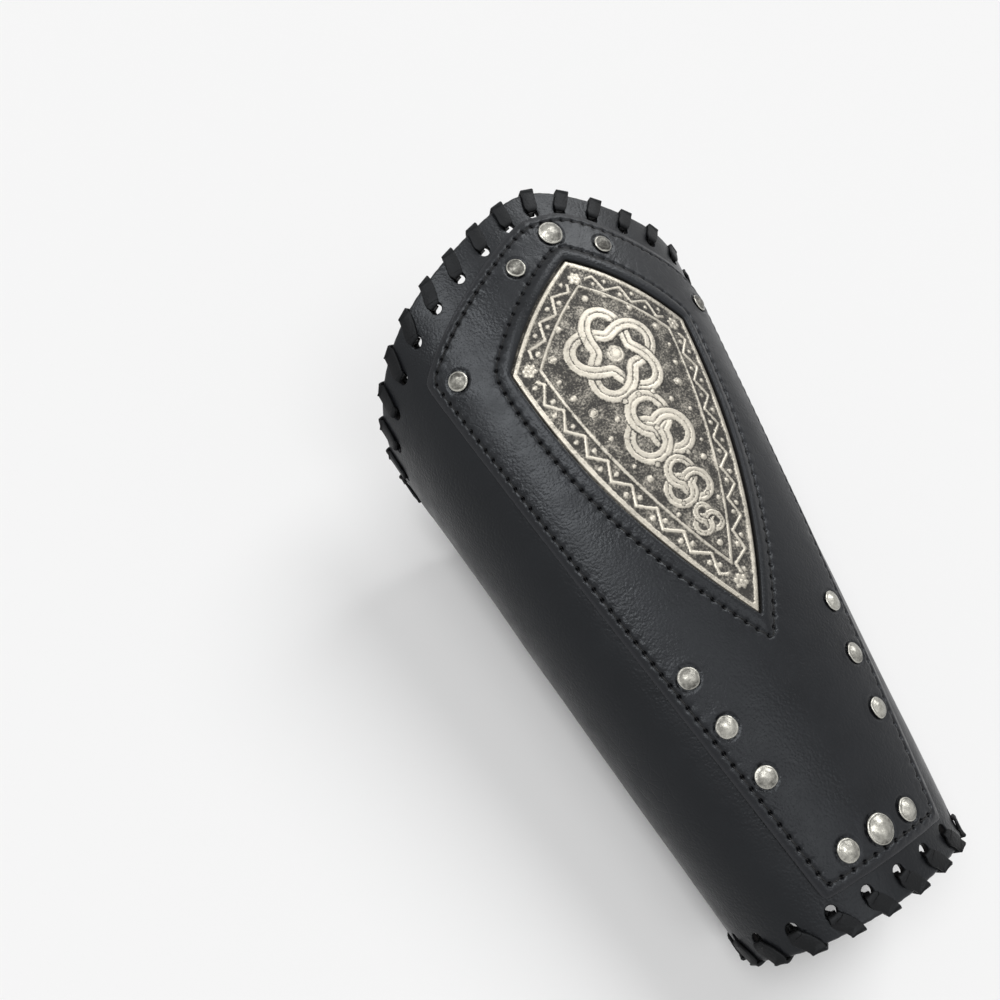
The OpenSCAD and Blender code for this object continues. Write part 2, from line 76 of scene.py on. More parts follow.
front_end = front_half / front_r
corner_x = front_r * math.sin(front_end)
corner_drop = front_r * (1 - math.cos(front_end))
back_x = corner_x + corner_r * (math.sin(corner_end) - math.sin(front_end))
back_drop = corner_drop + corner_r * (math.cos(front_end) - math.cos(corner_end))
back_r = (back_x - back_gap / 2) / math.sin(corner_end)
back_start = front_half + corner_r * (corner_end - front_end)
half_round = back_start + back_r * (math.pi - corner_end)
section_h = back_drop + back_r * (math.cos(corner_end) + 1)
# Arcs of the half section: where each starts, its heading there, its radius,
# and its X and drop there
arcs = [(0, 0, front_r, 0, 0), (front_half, front_end, corner_r, corner_x, corner_drop),
        (back_start, corner_end, back_r, back_x, back_drop)]
growth = (flare - 1) / sleeve_len
elbow_slope = elbow_drop / (math.hypot(half_round, elbow_round) - elbow_round)


def size_at(y):
    return 1 + growth * y


def section(u):
    """X, Z and heading of the wrist section at arc u from the front line."""
    v = np.abs(u)
    heading = x = drop = 0
    for start, first, r, x_first, drop_first in arcs:
        here = first + (v - start) / r
        heading = np.where(v < start, heading, here)
        x = np.where(v < start, x, x_first + r * (np.sin(here) - math.sin(first)))
        drop = np.where(v < start, drop, drop_first + r * (math.cos(first) - np.cos(here)))
    return np.sign(u) * x, section_h - drop, np.sign(u) * heading


def unit(v):
    return v / np.linalg.norm(v, axis=-1, keepdims=True)


def normal(u):
    """Outward direction of the leather at arc u."""
    x, z, heading = section(u)
    lean = growth * (x * np.sin(heading) + z * np.cos(heading))
    return unit(np.stack([np.sin(heading), -lean, np.cos(heading)], -1))


def place(u, y, n=0.0):
    """Place on the sleeve: arc u at the wrist's size, y up from the wrist, n above the leather."""
    u, y, n = np.broadcast_arrays(np.asarray(u, float), y, n)
    x, z, _ = section(u)
    size = size_at(y)
    return np.stack([x * size, y - sleeve_len / 2, z * size], -1) + n[..., None] * normal(u)


def flat_place(flat, n=0.0):
    """Place above flat leather: rows of arc from the front line where it lies, and y."""
    return place(flat[..., 0] / size_at(flat[..., 1]), flat[..., 1], n)


def elbow_y(u):
    return sleeve_len - elbow_slope * (np.hypot(u, elbow_round) - elbow_round)


def wrist_y(u):
    return wrist_rise * (1 - np.cos(math.pi * u / half_round)) / 2


def evenly(points, spacing, closed=True):
    """The same line with its points a steady distance apart."""
    if closed:
        points = np.vstack([points, points[:1]])
    far = np.concatenate([[0], np.cumsum(np.linalg.norm(np.diff(points, axis=0), axis=1))])
    count = max(3, round(far[-1] / spacing))
    at = np.linspace(0, far[-1], count + 1)
    line = np.stack([np.interp(at, far, points[:, i]) for i in range(points.shape[1])], 1)
    return line[:-1] if closed else line


def left_of(line):
    """Directions to the left of a flat line, at its points."""
    return unit(np.stack([-np.gradient(line[:, 1]), np.gradient(line[:, 0])], 1))


def ring(centre, r, count=24):
    turn = np.arange(count) * 2 * math.pi / count
    return np.stack([centre[0] + r * np.cos(turn), centre[1] + r * np.sin(turn)], 1)


def nearest(points, line):
    """Distance from each point to a line of close points, and which of them is nearest."""
    tree = kdtree.KDTree(len(line))
    for i, p in enumerate(line):
        tree.insert((p[0], p[1], 0), i)
    tree.balance()
    found = [tree.find((p[0], p[1], 0)) for p in points]
    return np.array([f[2] for f in found]), np.array([f[1] for f in found])


def inside(points, loop):
    """Whether each flat point lies inside a closed line."""
    ends = np.roll(loop, -1, axis=0)
    within = np.zeros(len(points), bool)
    for p, q in zip(loop, ends):
        if p[1] != q[1]:
            crosses = (p[1] > points[:, 1]) != (q[1] > points[:, 1])
            at = p[0] + (points[:, 1] - p[1]) * (q[0] - p[0]) / (q[1] - p[1])
            within ^= crosses & (points[:, 0] < at)
    return within


def cut_sheet(outline, holes, rings, spacing):
    """Flat triangles of a cut sheet. Returns points, triangles, and the loops of its edges."""
    low, high = outline.min(0), outline.max(0)
    rows = np.arange(low[1], high[1], spacing * 0.866)
    columns = np.arange(low[0], high[0], spacing)
    x, y = np.meshgrid(columns, rows)
    x = x + (np.arange(len(rows)) % 2)[:, None] * spacing / 2
    grid = np.stack([x.ravel(), y.ravel()], 1)
    grid = grid[inside(grid, outline)]
    laid = np.vstack([outline, *holes, *rings])
    grid = grid[nearest(grid, laid)[0] > spacing * 0.7]
    for hole in holes:
        grid = grid[~inside(grid, hole)]
    points = np.vstack([laid, grid])
    edges, first = [], 0
    for loop in [outline, *holes]:
        edges += [(first + i, first + (i + 1) % len(loop)) for i in range(len(loop))]
        first += len(loop)
    flat, _, faces, came_from, _, _ = geometry.delaunay_2d_cdt(
        [Vector(p) for p in points], edges, [], 0, 1e-5)
    flat = np.array([tuple(p) for p in flat])
    faces = np.array(faces)
    middle = flat[faces].mean(1)
    keep = inside(middle, outline)
    for hole in holes:
        keep &= ~inside(middle, hole)
    used, packed = np.unique(faces[keep], return_inverse=True)
    new_index = {old: new for new, i in enumerate(used) for old in came_from[i]}
    loops, first = [], 0
    for number, loop in enumerate([outline, *holes]):
        order = [new_index[first + i] for i in range(len(loop))]
        loops.append(order if number == 0 else order[::-1])
        first += len(loop)
    return flat[used], packed.reshape(-1, 3), loops


def new_piece(name, vertices, faces, material, masks=None):
    """A smooth piece from vertices in millimetres, riding on the one body."""
    mesh = bpy.data.meshes.new(name)
    mesh.from_pydata((np.asarray(vertices) / 1000).tolist(), [], [list(map(int, f)) for f in faces])
    for mask, values in (masks or {}).items():
        mesh.attributes.new(mask, "FLOAT", "POINT").data.foreach_set("value", values.astype(np.float32))
    mesh.shade_smooth()
    mesh.materials.append(material)
    piece = bpy.data.objects.new(name, mesh)
    bpy.context.scene.collection.objects.link(piece)
    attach(piece, "root")
    return piece


def sheet_piece(name, cut, top, under, material, masks):
    """A piece of sheet between two surfaces over the same flat triangles."""
    flat, faces, loops = cut
    count = len(flat)
    walls = []
    for loop in loops:
        for i, j in zip(loop, loop[1:] + loop[:1]):
            walls.append((i, count + i, count + j, j))
    masks = {mask: np.concatenate(values) for mask, values in masks.items()}
    return new_piece(name, np.vstack([flat_place(flat, top), flat_place(flat, under)]),
                     [*faces, *(faces[:, ::-1] + count), *walls], material, masks)


def rounded(distance, r):
    """Drop of a rounded edge at a distance in from it."""
    near = np.clip(r - distance, 0, r)
    return r - np.sqrt(r * r - near * near)


def waves(flat, size, seed):
    """Slow unevenness of hand-worked leather, from -1 to 1."""
    return np.array([noise.noise((p[0] / size, p[1] / size, seed)) for p in flat])


def edge_y(elbow, u):
    return elbow_y(u) if elbow else wrist_y(u)


def edge_point(elbow, u):
    return place(u, edge_y(elbow, u))


walk_u = np.linspace(0, half_round, 600)
walk = {elbow: np.concatenate([[0], np.cumsum(np.linalg.norm(
    np.diff(edge_point(elbow, walk_u), axis=0), axis=1))]) for elbow in (True, False)}


def edge_u(elbow, e):
    return np.sign(e) * np.interp(np.abs(e), walk[elbow], walk_u)


def along_edge(elbow, u):
    return unit(edge_point(elbow, u + 0.05) - edge_point(elbow, u - 0.05))


def inset_uy(elbow, e, d):
    """Arc u and y of a place e along an edge and d in from it."""
    u = edge_u(elbow, e)
    x, z, heading = section(u)
    t, n = along_edge(elbow, u), normal(u)
    inward = np.cross(t, n) if elbow else np.cross(n, t)
    rest = inward - inward[1] * np.array([growth * x, 1, growth * z])
    step = rest @ np.array([np.cos(heading), 0, -np.sin(heading)])
    y = edge_y(elbow, u)
    return u + d * step / size_at(y), y + d * inward[1]


lace_hole_d = 4.2
lace_end = 15.0
lace_pitch = {True: 14.7, False: 12.9}
lace_shift = {True: -1.4, False: 0.2}
lace_inset = {True: 8.8, False: 7.0}


def lace_marks(elbow):
    """Places of the lace holes along an edge, from the front line."""
    half, pitch, shift = walk[elbow][-1], lace_pitch[elbow], lace_shift[elbow]
    low = math.floor((half - lace_end + shift) / pitch)
    high = math.floor((half - lace_end - shift) / pitch)
    return [shift + i * pitch for i in range(-low, high + 1)]


def to_flat(u, y):
    return np.array([u * size_at(y), y])


panel_top_y = sleeve_len - 11.4
side_y = [49.8, 68.0, 86.2]
cuff_y = 20.5
panel_w, panel_shoulder, panel_crown_w, panel_bow = 133.2, 37.4, 15.0, 1.4
panel_foot_w, panel_foot_y = 51.4, 11.9
side_share = [(y - panel_foot_y) / (panel_top_y - panel_shoulder - panel_foot_y) for y in side_y]
side_a = [(panel_foot_w + (panel_w - panel_foot_w) * share) / 2 - 8.7 for share in side_share]
# Each rivet: arc from the front line, y, and whether its cap is large
rivets = {"elbow": (0, panel_top_y - 8.6, True), "wrist": (0, cuff_y, True)}
for hand, way in (("left", -1), ("right", 1)):
    rivets["brow_" + hand] = (way * 18.9, panel_top_y - 17.3, False)
    rivets["shoulder_" + hand] = (way * 55.4, panel_top_y - 44.0, False)
    rivets["cuff_" + hand] = (way * 12.8, cuff_y, False)
    for name, a, y in zip(("lower", "middle", "upper"), side_a, side_y):
        rivets["side_%s_%s" % (name, hand)] = (way * a, y, False)
rivet_hole_d = 3.4

eyelet_hole_d = 6.1
eyelet_count, eyelet_inset, eyelet_end = 5, 9.5, 16
back_foot, back_head = float(wrist_y(half_round)), float(elbow_y(half_round))
back_low, back_high = back_foot + eyelet_end, back_head - eyelet_end
eyelets = {}
for hand, way in (("left", -1), ("right", 1)):
    for i in range(eyelet_count):
        y = back_low + (back_high - back_low) * i / (eyelet_count - 1)
        eyelets["%d_%s" % (i + 1, hand)] = (way * (half_round - eyelet_inset / size_at(y)), y)

u_line = np.linspace(-half_round, half_round, 700)
back_y = back_foot + (back_head - back_foot) * np.linspace(0, 1, 120)[1:-1]
right_back = np.stack([np.full(len(back_y), half_round), back_y], 1)
outline_uy = np.vstack([
    np.stack([u_line, wrist_y(u_line)], 1), right_back,
    np.stack([u_line, elbow_y(u_line)], 1)[::-1], (right_back * [-1, 1])[::-1]])
outline_u, outline_y = outline_uy.T
sleeve_outline = evenly(np.stack([outline_u * size_at(outline_y), outline_y], 1), 1.3)

lace_holes = [to_flat(*inset_uy(elbow, e, lace_inset[elbow])) for elbow in (True, False)
              for e in lace_marks(elbow)]
sleeve_holes = [ring(p, lace_hole_d / 2, 28) for p in lace_holes]
sleeve_holes += [ring(r, rivet_hole_d / 2, 16) for r in rivets.values()]
sleeve_holes += [ring(to_flat(*p), eyelet_hole_d / 2, 24) for p in eyelets.values()]
sleeve_rings = [sleeve_outline + left_of(sleeve_outline) * d for d in (0.2, 0.5, 1.0, 1.9)]
sleeve_rings += [ring(p, lace_hole_d / 2 + d, 28) for p in lace_holes for d in (0.2, 0.5, 1.1)]
sleeve_cut = cut_sheet(sleeve_outline, sleeve_holes, sleeve_rings, 2.2)

flat = sleeve_cut[0]
edge_far, _ = nearest(flat, evenly(sleeve_outline, 0.3))
hole_far = np.clip(nearest(flat, np.array(lace_holes))[0] - lace_hole_d / 2, 0, None)
# The leather that the panel leaves bare is a little uneven
bare_from = 31 + 0.19 * flat[:, 1]
beside_panel = np.clip((np.abs(flat[:, 0]) - bare_from) / 10, 0, 1)
bare = np.clip(edge_far / 6, 0, 1) * beside_panel
sleeve_top = 0.35 * bare * waves(flat, 34, 3) - rounded(edge_far, 0.7) - rounded(hole_far, 0.3)
sleeve_top -= 0.1 * np.exp(-(hole_far / 1.6) ** 2)
sleeve_under = -leather_t + rounded(edge_far, 0.6) + rounded(hole_far, 0.4)


def add(tree, kind, inputs=None, **settings):
    """A shader node with its settings, its inputs linked or set."""
    node = tree.nodes.new(kind)
    for name, value in settings.items():
        setattr(node, name, value)
    for name, value in (inputs or {}).items():
        if isinstance(value, bpy.types.NodeSocket):
            tree.links.new(value, node.inputs[name])
        else:
            node.inputs[name].default_value = value
    return node


def maths(tree, operation, a, b, clamp=False):
    return add(tree, "ShaderNodeMath", {0: a, 1: b}, operation=operation, use_clamp=clamp).outputs[0]


def plus(tree, a, b, clamp=False):
    return maths(tree, "ADD", a, b, clamp)


def minus(tree, a, b, clamp=False):
    return maths(tree, "SUBTRACT", a, b, clamp)


def times(tree, a, b, clamp=False):
    return maths(tree, "MULTIPLY", a, b, clamp)


def mixed(tree, factor, a, b):
    ends = {"Factor": factor, "A": a, "B": b}
    return add(tree, "ShaderNodeMix", ends, data_type="RGBA").outputs["Result"]


def ranged(tree, value, low, high, to_low=0.0, to_high=1.0, curve="LINEAR"):
    """A value taken from one range to another."""
    ends = {"Value": value, 1: low, 2: high, 3: to_low, 4: to_high}
    return add(tree, "ShaderNodeMapRange", ends, interpolation_type=curve).outputs[0]


def noise_of(tree, at, scale, detail, output="Fac"):
    values = {"Vector": at, "Scale": scale, "Detail": detail}
    return add(tree, "ShaderNodeTexNoise", values).outputs[output]


NUMBER, COLOUR = "NodeSocketFloat", "NodeSocketColor"


def new_group(name, inputs):
    """A node group that will put out a surface, given as its tree and its inputs' sockets."""
    tree = bpy.data.node_groups.new(name, "ShaderNodeTree")
    for label, kind, value in inputs:
        tree.interface.new_socket(label, in_out="INPUT", socket_type=kind).default_value = value
    return tree, tree.nodes.new("NodeGroupInput").outputs


def put_out(tree, colour, rough, height):
    """Ends a node group with its surface's colour, roughness and height."""
    values = {"Color": (COLOUR, colour), "Roughness": (NUMBER, rough), "Height": (NUMBER, height)}
    for label, (kind, _) in values.items():
        tree.interface.new_socket(label, in_out="OUTPUT", socket_type=kind)
    add(tree, "NodeGroupOutput", {label: value for label, (_, value) in values.items()})
    return tree


def build_leather_grain():
    """Pebbled grain, slow shade changes, faint creases darkened with painted shade, and rubbed high
    places and edges painted lighter, partly wear and partly a painted highlight.
    """
    tree, given = new_group("leather grain", [
        ("Dark", COLOUR, (0.01, 0.01, 0.01, 1)), ("Light", COLOUR, (0.03, 0.03, 0.03, 1)),
        ("Edge wear and sheen", COLOUR, (0.05, 0.05, 0.05, 1)), ("Flesh", COLOUR, (0.05, 0.05, 0.05, 1)),
        ("Flesh side", NUMBER, 0.0), ("Edge", NUMBER, 0.0),
        ("Grain size", NUMBER, 1.0), ("Roughness", NUMBER, 0.45)])
    place_on = add(tree, "ShaderNodeTexCoord").outputs["Object"]
    size = maths(tree, "DIVIDE", 1.0, given["Grain size"])
    slow = noise_of(tree, place_on, 28.0, 3.0)
    patch = noise_of(tree, place_on, 120.0, 3.0)
    fine = noise_of(tree, place_on, 2600.0, 3.0)
    bend = noise_of(tree, place_on, 500.0, 2.0, "Color")
    push = add(tree, "ShaderNodeVectorMath", {0: bend, "Scale": 0.0009}, operation="SCALE").outputs[0]
    bent = add(tree, "ShaderNodeVectorMath", {0: place_on, 1: push}, operation="ADD").outputs[0]
    pebble = add(tree, "ShaderNodeTexVoronoi", {
        "Vector": bent, "Scale": times(tree, size, 1050.0)}, feature="SMOOTH_F1").outputs["Distance"]
    crease_far = add(tree, "ShaderNodeTexVoronoi", {
        "Vector": bent, "Scale": times(tree, size, 210.0)},
        feature="DISTANCE_TO_EDGE").outputs["Distance"]
    crease = times(tree, ranged(tree, crease_far, 0.0, 0.07, 1.0, 0.0), ranged(tree, slow, 0.5, 0.66))
    shade = plus(tree, times(tree, slow, 0.75), times(tree, fine, 0.35), True)
    # The creases are darkened in colour as well as bumped: painted shade in them
    shade = minus(tree, shade, times(tree, crease, 0.2), True)
    colour = mixed(tree, shade, given["Dark"], given["Light"])
    # Edges are mixed towards a lighter colour: partly rubbed wear, partly a painted highlight along them
    wear_and_sheen = times(tree, given["Edge"], plus(tree, times(tree, fine, 0.8), 0.3), True)
    colour = mixed(tree, wear_and_sheen, colour, given["Edge wear and sheen"])
    colour = mixed(tree, given["Flesh side"], colour, given["Flesh"])
    rough = plus(tree, given["Roughness"], times(tree, minus(tree, slow, 0.5), 0.16))
    rough = plus(tree, rough, times(tree, minus(tree, patch, 0.5), 0.3))
    rough = plus(tree, rough, times(tree, given["Flesh side"], 0.35), True)
    strong = ranged(tree, slow, 0.44, 0.62, 1.1, 0.25)
    height = minus(tree, times(tree, fine, 0.4), times(tree, pebble, strong))
    height = minus(tree, height, times(tree, crease, 0.4))
    height = plus(tree, height, times(tree, patch, 1.5))
    return put_out(tree, colour, rough, height)


leather_grain = build_leather_grain()


def mask_of(tree, name):
    return add(tree, "ShaderNodeAttribute", attribute_name=name).outputs["Fac"]


def new_material(name):
    """A material, its node tree and its shader."""
    material = bpy.data.materials.new(name)
    material.use_nodes = True
    return material, material.node_tree, material.node_tree.nodes["Principled BSDF"]


def wear_group(tree, shader, group, inputs, strength, depth):
    """Puts a node group's surface on a shader, its height as bump."""
    surface = add(tree, "ShaderNodeGroup", inputs, node_tree=group).outputs
    bump = add(tree, "ShaderNodeBump", {
        "Strength": strength, "Distance": depth, "Height": surface["Height"]})
    tree.links.new(surface["Color"], shader.inputs["Base Color"])
    tree.links.new(surface["Roughness"], shader.inputs["Roughness"])
    tree.links.new(bump.outputs["Normal"], shader.inputs["Normal"])


def leather(name, dark, light, edge_wear_and_sheen, flesh, grain_size, roughness, grain_depth, specular):
    """Dyed leather. It reads the piece's masks for its flesh side and its cut edges, which it paints
    lighter as wear and as a painted highlight.
    """
    material, tree, shader = new_material(name)
    wear_group(tree, shader, leather_grain, {
        "Dark": (*dark, 1), "Light": (*light, 1), "Edge wear and sheen": (*edge_wear_and_sheen, 1), "Flesh": (*flesh, 1),
        "Grain size": grain_size, "Roughness": roughness,
        "Flesh side": mask_of(tree, "flesh"), "Edge": mask_of(tree, "edge")}, 0.6, grain_depth)
    shader.inputs["Specular IOR Level"].default_value = specular
    shader.inputs["Specular Tint"].default_value = (0.90, 0.95, 1.0, 1)
    return material


sleeve_leather = leather(
    "sleeve leather", dark=(0.002, 0.002, 0.0024), light=(0.0065, 0.007, 0.0085),
    edge_wear_and_sheen=(0.022, 0.022, 0.024), flesh=(0.022, 0.020, 0.019),
    grain_size=0.9, roughness=0.36, grain_depth=0.00018, specular=0.27)
# The cut edges are painted lighter: partly wear, partly a painted highlight along them
sleeve_edge = np.clip(1 - edge_far / 1.2, 0, 1)
sleeve = sheet_piece(
    "leather_sleeve_cut", sleeve_cut, sleeve_top, sleeve_under, sleeve_leather,
    {"edge": (sleeve_edge, sleeve_edge), "flesh": (np.zeros(len(flat)), np.ones(len(flat)))})
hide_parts("leather_sleeve")


# Emblem plate
# A thin zinc casting, silvered and then blackened, with its high places
# rubbed bright again. It is bent to the leather, and its flange lies under
# the front panel. Its interlace and its border are one generic old pattern.
plate_top_y = panel_top_y - 20.6
plate_len, plate_w, plate_shoulder, plate_bow, plate_brow_bow = 140.0, 76.0, 32.0, 6.8, 2.2
plate_wide_y = plate_top_y - plate_shoulder
plate_tip_y = plate_top_y - plate_len
centre_y = plate_wide_y - plate_w / 2
brow_share = 1.15
plate_low, flange_w, flange_high, ground_high, relief = 0.15, 2.4, 0.95, 1.45, 0.45
rim_w, frame_inset, frame_w = 1.8, 9.4, 1.1


def side(p, q, bow, share=1.0):
    """An outline's side as an arc: its centre, its radius, and its share of outward distances."""
    p, q = np.array(p, float), np.array(q, float)
    chord = np.linalg.norm(q - p)
    r = (chord * chord / 4 + bow * bow) / (2 * bow)
    out = np.array([p[1] - q[1], q[0] - p[0]]) / chord
    return (p + q) / 2 - out * (r - bow), r, share


def mirrored(sides):
    return sides + [(centre * [-1, 1], r, share) for centre, r, share in sides]


straight = 0.02
plate_sides = mirrored([
    side((0, plate_top_y), (plate_w / 2, plate_wide_y), plate_brow_bow, brow_share),
    side((plate_w / 2, plate_wide_y), (0, plate_tip_y), plate_bow)])
panel_crown = (panel_crown_w / 2, panel_top_y)
panel_wide = (panel_w / 2, panel_top_y - panel_shoulder)
panel_foot = (panel_foot_w / 2, panel_foot_y)
panel_sides = mirrored([
    side((-panel_w, panel_top_y), (panel_w, panel_top_y), straight),
    side(panel_crown, panel_wide, panel_bow), side(panel_wide, panel_foot, straight),
    side((panel_w, panel_foot_y), (-panel_w, panel_foot_y), straight)])


def reach(sides, angle, d, soft):
    """How far an outline, moved out by d, lies from the shared centre at each angle."""
    far = []
    for centre, r, share in sides:
        w = np.array([0, centre_y]) - centre
        b = -(w[0] * np.cos(angle) + w[1] * np.sin(angle))
        far.append(b + np.sqrt(b * b - w @ w + (r + d * (share if d > 0 else 1)) ** 2))
    far = np.array(far)
    near = far.min(0)
    return near - soft * np.log(np.exp((near - far) / soft).sum(0) / 2)


def window(angle, d):
    return reach(plate_sides, angle, d, 0.5 + max(0, d) / 4)


def panel_edge(angle, d):
    return reach(panel_sides, angle, -d, 1.2)


def loop_at(outline, d, spacing):
    """An outline at distance d as evenly spaced flat points."""
    angle = np.linspace(-math.pi, math.pi, 6001)[:-1]
    r = outline(angle, d)
    return evenly(np.stack([r * np.cos(angle), centre_y + r * np.sin(angle)], 1), spacing)


def depth_in(sides, flat):
    """Distance in from an outline's nearest side."""
    return np.min([r - np.linalg.norm(flat - centre, axis=1) for centre, r, _ in sides], axis=0)


plate_outline = loop_at(window, flange_w, 0.9)
rim_steps = (0.3, 0.05, -0.1, -0.3, -0.6, -1.0, -rim_w, -rim_w - 0.2)
frame_steps = (0.8, 0.55, 0.3, 0, -0.3, -0.55, -0.8)
plate_rings = [loop_at(window, d, 0.5) for d in rim_steps]
plate_rings += [loop_at(window, d - frame_inset, 0.5) for d in frame_steps]
plate_cut = cut_sheet(plate_outline, [], plate_rings, 0.42)
flat = plate_cut[0]
depth = depth_in(plate_sides, flat)


def bar(off, half_width, slope=0.3):
    """A raised bar's height share, from 0 beside it to 1 on it."""
    rise = np.clip((half_width - np.abs(off)) / slope + 0.5, 0, 1)
    return rise * rise * (3 - 2 * rise)


def dots(flat, places, r):
    far, _ = nearest(flat, np.array(places))
    return np.sqrt(np.clip(1 - (far / r) ** 2, 0, 1))


# Border: a zigzag line with a pellet in each bay, and a rosette at each corner
band_depth, band_step = (rim_w + frame_inset) / 2, 0.2
corner_clear, bay_len, swing_w = 4.6, 11.5, 2.1
band = loop_at(window, -band_depth, band_step)
band_at = nearest(flat, band)[1]
band_off = depth - band_depth
corners = [np.array(p) for p in (
    (0, plate_top_y - 7.7), (-plate_w / 2 + 6.2, plate_wide_y - 1.4), (0, plate_tip_y + 11.4),
    (plate_w / 2 - 6.2, plate_wide_y - 1.4))]
corner_at = sorted(int(nearest([c], band)[1][0]) for c in corners)
border = np.zeros(len(flat))
pellets = []
for i, start in enumerate(corner_at):
    end = corner_at[(i + 1) % 4] if i < 3 else corner_at[0] + len(band)
    clear = int(corner_clear / band_step)
    run = (end - start) - 2 * clear
    bays = max(2, 2 * round(run * band_step / bay_len))
    along = ((band_at - start) % len(band) - clear) / run
    on_side = (along > 0) & (along < 1)
    swing = 1 - 4 * np.abs((along * bays / 2 + 0.25) % 1 - 0.5)
    steep = math.cos(math.atan(4 * swing_w * bays / 2 / (run * band_step)))
    border = np.maximum(border, on_side * 0.85 * bar((band_off - swing_w * swing) * steep, 0.5))
    for k in range(bays):
        at = band[int(start + clear + run * (k + 0.5) / bays) % len(band)]
        inward = unit(np.array([0, centre_y + 8]) - at)
        pellets.append(at + inward * (1.0 if k % 2 else -1.0) * 1.5)
border = np.maximum(border, 0.8 * dots(flat, pellets, 1.0))
for c in corners:
    turn = np.arange(6) * math.pi / 3 + math.pi / 6
    petals = c + 1.75 * np.stack([np.cos(turn), np.sin(turn)], 1)
    border = np.maximum(border, 0.8 * dots(flat, petals, 1.05))
    border = np.maximum(border, 0.95 * dots(flat, [c], 0.95))

# Four lobed knots in a row, each of one strand that passes over and under
# itself. Rows are fall from the plate's top, lobes, radius, swing and half width.
knots = [(39.8, 5, 12.2, 4.9, 2.35), (70.2, 3, 7.5, 5.2, 2.2),
         (91.4, 3, 5.3, 3.5, 1.6), (105.7, 3, 3.3, 2.15, 1.05)]


def knot_strand(knot, number):
    """The points of one stretch of a knot, from one underpass to the next, and their levels."""
    fall, lobes, r, swing, _ = knot
    wave = np.linspace(-0.1, 2 * math.pi + 0.1, 260) - math.pi / 2 + 2 * math.pi * number
    angle = wave * 2 / lobes + math.pi / 2
    far = r + swing * np.cos(wave)
    return np.stack([far * np.cos(angle), plate_top_y - fall + far * np.sin(angle)], 1), np.sin(wave)


moat = 0.4
shape_knot = np.zeros(len(flat))
shade_knot = np.full(len(flat), 0.26)
for knot in knots:
    reach_out = knot[2] + knot[3] + knot[4] + 1
    near = np.flatnonzero(np.hypot(flat[:, 0], flat[:, 1] - plate_top_y + knot[0]) < reach_out)
    half = knot[4]
    lines = [knot_strand(knot, number) for number in range(knot[1])]
    found = [nearest(flat[near], line) for line, _ in lines]
    offs = np.array([far for far, _ in found])
    levels = np.array([level[at] for (_, level), (_, at) in zip(lines, found)])
    for rank in np.argsort(levels, axis=0):
        off, level = (np.take_along_axis(v, rank[None], 0)[0] for v in (offs, levels))
        groove = bar(off, 0.09 * half, 0.22)
        covers = off < half + moat
        ribbon = bar(off, half, 0.25) * (0.92 + 0.1 * level) - 0.4 * groove
        shade = np.clip(bar(off, half - 0.1, 0.3) * (1.0 + 0.1 * level) - 0.75 * groove, 0, 1)
        shape_knot[near] = np.where(covers, ribbon, shape_knot[near])
        shade_knot[near] = np.where(covers, shade, shade_knot[near])
# Rows are distance from the front line, fall from the plate's top, and radius
bosses = [(0, 39.8, 3.7), (0, 16.4, 1.5), (0, 70.2, 1.0), (0, 114.4, 1.3), (0, 56.8, 0.9)]
for way in (-1, 1):
    bosses += [(way * x, fall, size) for x, fall, size in (
        (22.6, 33.5, 1.7), (15.6, 24.0, 1.5), (8.0, 17.4, 1.0), (18.6, 56.6, 1.9), (22.3, 49.0, 1.2),
        (6.0, 57.4, 1.0), (11.8, 62.0, 1.1), (17.2, 67.4, 1.0), (11.6, 85.4, 1.4), (6.6, 82.1, 1.0),
        (14.6, 79.4, 0.9), (8.6, 100.3, 0.9), (24.2, 41.6, 0.9), (5.2, 97.6, 0.7))]
for x, fall, size in bosses:
    far = np.hypot(flat[:, 0] - x, flat[:, 1] - plate_top_y + fall)
    boss = np.sqrt(np.clip(1 - (far / size) ** 2, 0, 1)) * 0.95
    if size > 1.6:
        boss -= 0.4 * bar(far - size * 0.6, 0.16, 0.22)
    shape_knot = np.maximum(shape_knot, boss * (far < size))
    shade_knot = np.where(far < size + 0.3, np.clip(1.3 * boss, 0, 1) * (far < size), shade_knot)
frame_line = bar(depth - frame_inset, frame_w / 2)
rim = bar(depth - rim_w / 2, rim_w / 2, 0.15) * (depth > 0)
pitted = 0.88 + 0.2 * waves(flat, 1.2, 9) + 0.12 * waves(flat, 5, 4)
in_field = np.clip((depth - frame_inset - frame_w / 2) / 0.3, 0, 1)
border *= depth < frame_inset
shape = np.maximum.reduce([rim * 1.05, frame_line, border, shape_knot * in_field])
shade = np.maximum.reduce([rim * pitted, frame_line * pitted, border * 1.1 + 0.2, shade_knot * in_field])
uneven = waves(flat, 7, 11) * 0.05 + waves(flat, 1.9, 5) * 0.045
body = np.clip(depth / 0.15, 0, 1)
plate_top = np.where(depth < 0, flange_high, flange_high + (ground_high - flange_high) * body
                     + relief * shape + uneven * body)
plate_under = np.full(len(flat), plate_low)


